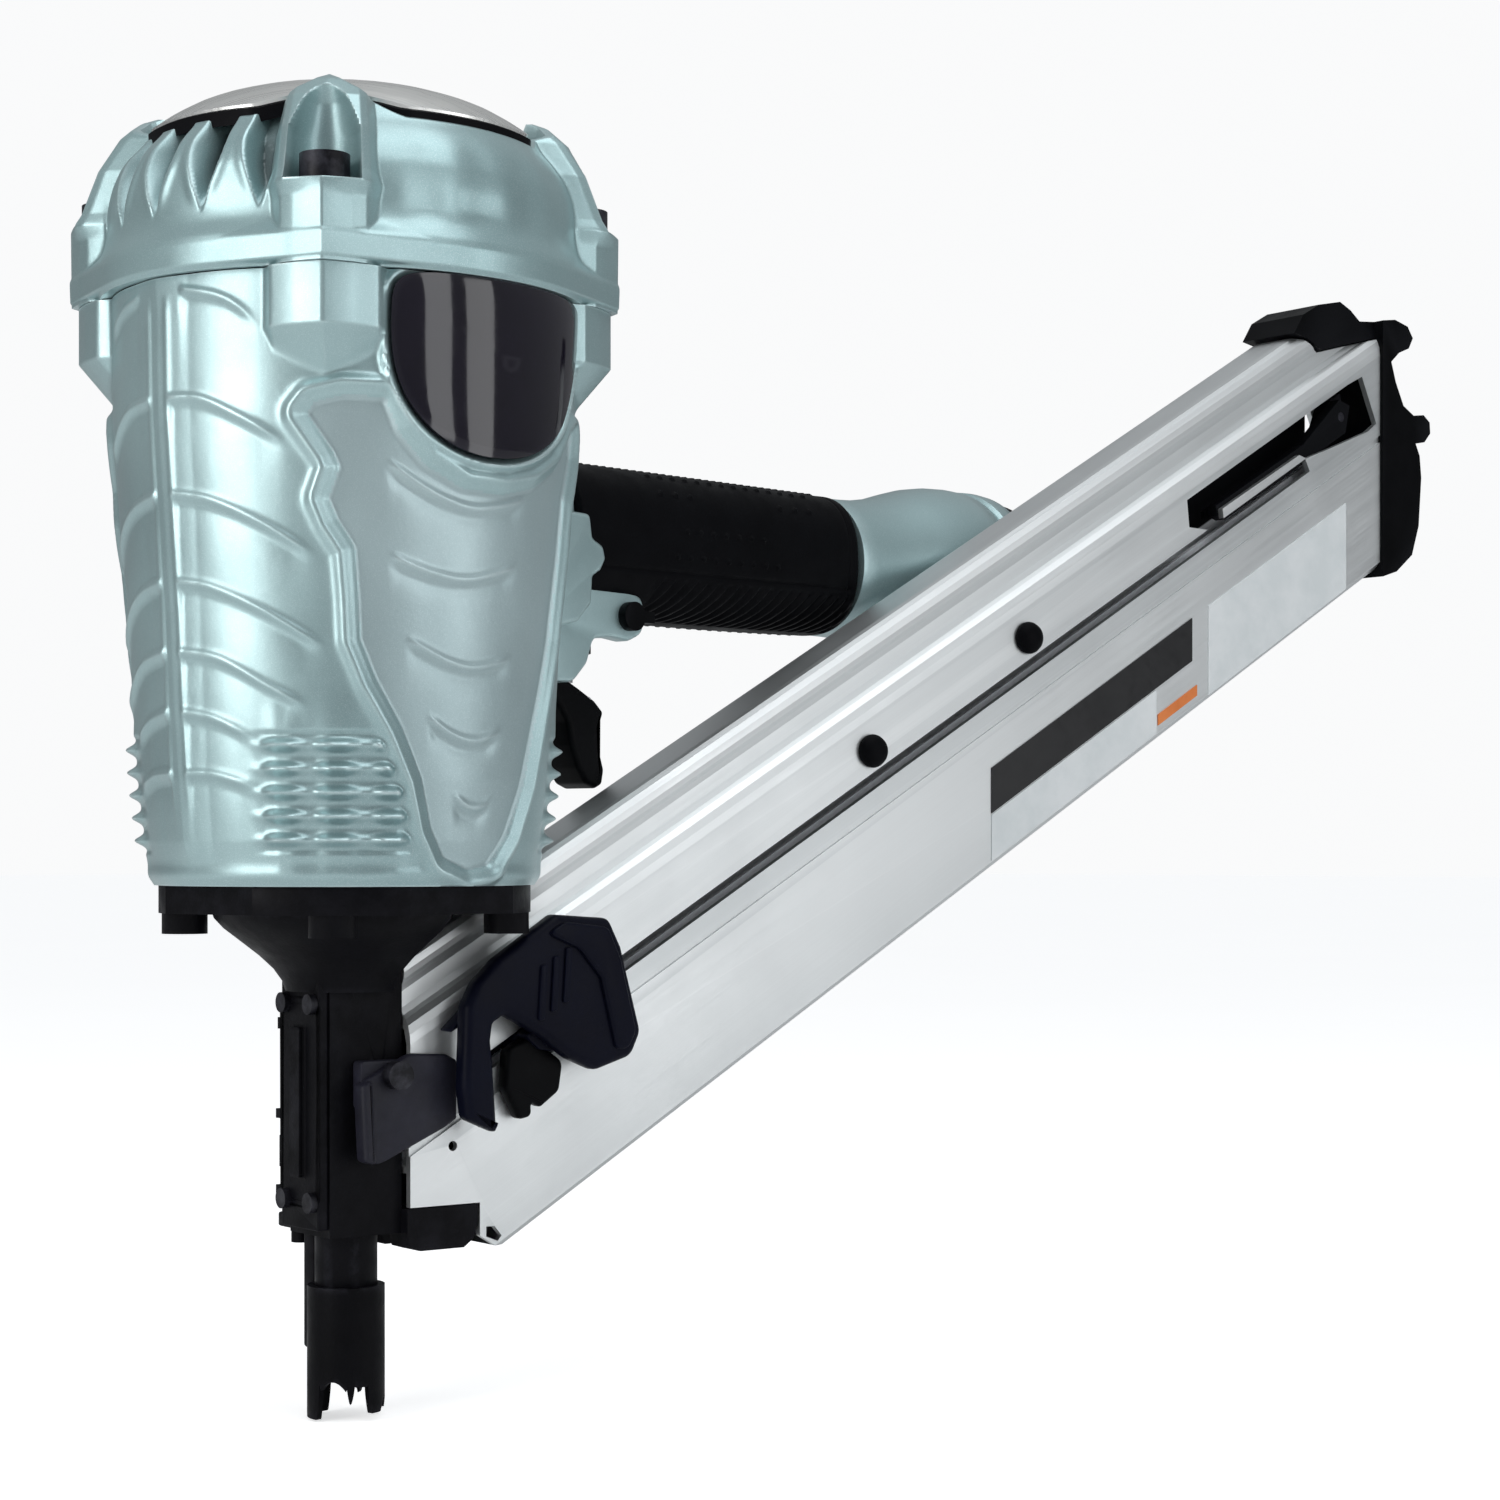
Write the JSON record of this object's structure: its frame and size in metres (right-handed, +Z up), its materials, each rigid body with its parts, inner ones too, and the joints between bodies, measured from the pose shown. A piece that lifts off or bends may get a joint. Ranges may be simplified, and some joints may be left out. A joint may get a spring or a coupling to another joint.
{
  "type": "pneumatic nail gun",
  "caption": "Strip-fed pneumatic framing nailer with a tapered cast head, rubber-gripped handle, slotted sliding magazine, spring pusher, toothed contact foot and pivoting trigger.",
  "frame": {"origin": "centre of the contact foot's bore mouth, on the driver axis", "axes": "+Z up the driver axis to the head, +X out along the handle, the magazine canted 11 degrees towards -Y"},
  "size_m": [0.46, 0.1542, 0.3385],
  "materials": {
    "body_paint": "pale metallic sea-green paint on a die casting",
    "black_steel": "black oxide steel",
    "bolt_steel": "blackened machine screws and pins",
    "spring_steel": "plain spring and tool steel",
    "aluminium": "brushed, clear anodised",
    "plate_silver": "radially brushed",
    "rubber": "black moulded rubber",
    "black_plastic": "black moulded nylon",
    "badge_gloss": "gloss black",
    "cap_paint": "pale sea-green paint",
    "label_pale": "printed film, no lettering",
    "label_orange": "orange film"
  },
  "bodies": {
    "frame": {"main_housing": "body_paint", "head_gasket": "rubber", "head_cap": "body_paint", "cap_bolts": "bolt_steel", "exhaust_seal": "rubber", "plate_gasket": "rubber", "exhaust_plate": "plate_silver", "cylinder": "aluminium", "chamber_plate": "aluminium", "cylinder_ring": "rubber", "piston_bumper": "rubber", "badge": "badge_gloss", "handle_grip": "rubber", "end_cap_gasket": "rubber", "end_cap": "cap_paint", "end_cap_bolts": "bolt_steel", "nose_body": "black_steel", "nose_bolts": "bolt_steel", "nose_cover": "black_steel", "cover_screws": "bolt_steel", "contact_arm_spring": "spring_steel", "head_valve_spring": "spring_steel", "trigger_pin": "bolt_steel", "valve_body": "black_plastic", "valve_oring": "rubber", "valve_spring": "spring_steel", "magazine_body": "aluminium", "nail_guides": "spring_steel", "magazine_tail": "black_plastic", "tail_nuts": "bolt_steel", "tail_bolts": "bolt_steel", "magazine_clamp": "black_steel", "clamp_bolt": "bolt_steel", "handle_bracket": "black_steel", "bracket_bolts": "bolt_steel", "rubber_buttons": "rubber", "label_dark": "black_plastic", "label_light": "label_pale", "label_stripe": "label_orange", "stopper_pin": "bolt_steel", "stopper_frame": "black_steel"},
    "driver": {"piston": "aluminium", "piston_ring": "spring_steel", "driver_blade": "spring_steel"},
    "head_valve": {"head_valve": "aluminium", "head_valve_ring": "rubber"},
    "contact_arm": {"contact_arm": "black_steel"},
    "contact_foot": {"contact_foot": "black_steel"},
    "depth_knob": {"depth_knob": "black_plastic"},
    "trigger": {"trigger": "black_plastic", "trigger_arm_pin": "bolt_steel"},
    "trigger_arm": {"trigger_arm": "spring_steel"},
    "plunger": {"valve_plunger": "aluminium"},
    "mode_selector": {"mode_selector": "bolt_steel"},
    "pusher": {"pusher_grip": "black_plastic", "pusher_shoe": "black_plastic", "drum_pin": "bolt_steel", "pusher_catch": "black_steel"},
    "spring_drum": {"spring_drum": "spring_steel"},
    "nail_stopper": {"nail_stopper": "black_plastic"}
  },
  "joints": [
    {"name": "driver_stroke", "type": "slide", "parent": "frame", "child": "driver", "axis": [0, 0, -1], "range_m": [0, 0.101]},
    {"name": "head_valve_lift", "type": "slide", "parent": "frame", "child": "head_valve", "axis": [0, 0, 1], "range_m": [0, 0.0035], "deforming": ["head_valve_spring"]},
    {"name": "contact_arm_slide", "type": "slide", "parent": "frame", "child": "contact_arm", "axis": [0, 0, 1], "range_m": [0, 0.011], "deforming": ["contact_arm_spring"]},
    {"name": "depth_knob_turn", "type": "hinge", "parent": "contact_arm", "child": "depth_knob", "pos_m": [0.00458, 0.02356, 0], "axis": [0, 0, 1], "range_deg": [0, 720]},
    {"name": "depth_adjust", "type": "slide", "parent": "contact_arm", "child": "contact_foot", "axis": [0, 0, 1], "range_m": [0, 0.002]},
    {"name": "trigger_pull", "type": "hinge", "parent": "frame", "child": "trigger", "pos_m": [0.064, 0, 0.186], "axis": [0, -1, 0], "range_deg": [0, 12]},
    {"name": "trigger_arm_tilt", "type": "hinge", "parent": "trigger", "child": "trigger_arm", "pos_m": [0.0813, 0, 0.1736], "axis": [0, 1, 0], "range_deg": [0, 6]},
    {"name": "plunger_slide", "type": "slide", "parent": "frame", "child": "plunger", "axis": [0, 0, 1], "range_m": [0, 0.003], "deforming": ["valve_spring"]},
    {"name": "selector_turn", "type": "hinge", "parent": "frame", "child": "mode_selector", "pos_m": [0.088, 0, 0.197], "axis": [0, -1, 0], "range_deg": [0, 45]},
    {"name": "pusher_slide", "type": "slide", "parent": "frame", "child": "pusher", "axis": [0.8501, -0.1652, 0.5], "range_m": [0, 0.28]},
    {"name": "spring_drum_turn", "type": "hinge", "parent": "pusher", "child": "spring_drum", "pos_m": [0.0708, -0.01376, 0.08507], "axis": [-0.1908, -0.9816, 0], "range_deg": [0, 1790]},
    {"name": "nail_stopper_tilt", "type": "hinge", "parent": "frame", "child": "nail_stopper", "pos_m": [0.35344, -0.07889, 0.274], "axis": [-0.1908, -0.9816, 0], "range_deg": [0, 4]}
  ],
  "couplings": [
    {"joint": "depth_knob_turn", "follows": "depth_adjust", "rad_per_m": 6283},
    {"joint": "plunger_slide", "follows": "trigger_pull", "m_per_rad": 0.014323},
    {"joint": "trigger_arm_tilt", "follows": "contact_arm_slide", "rad_per_m": 9.51},
    {"joint": "spring_drum_turn", "follows": "pusher_slide", "rad_per_m": 111.1}
  ]
}
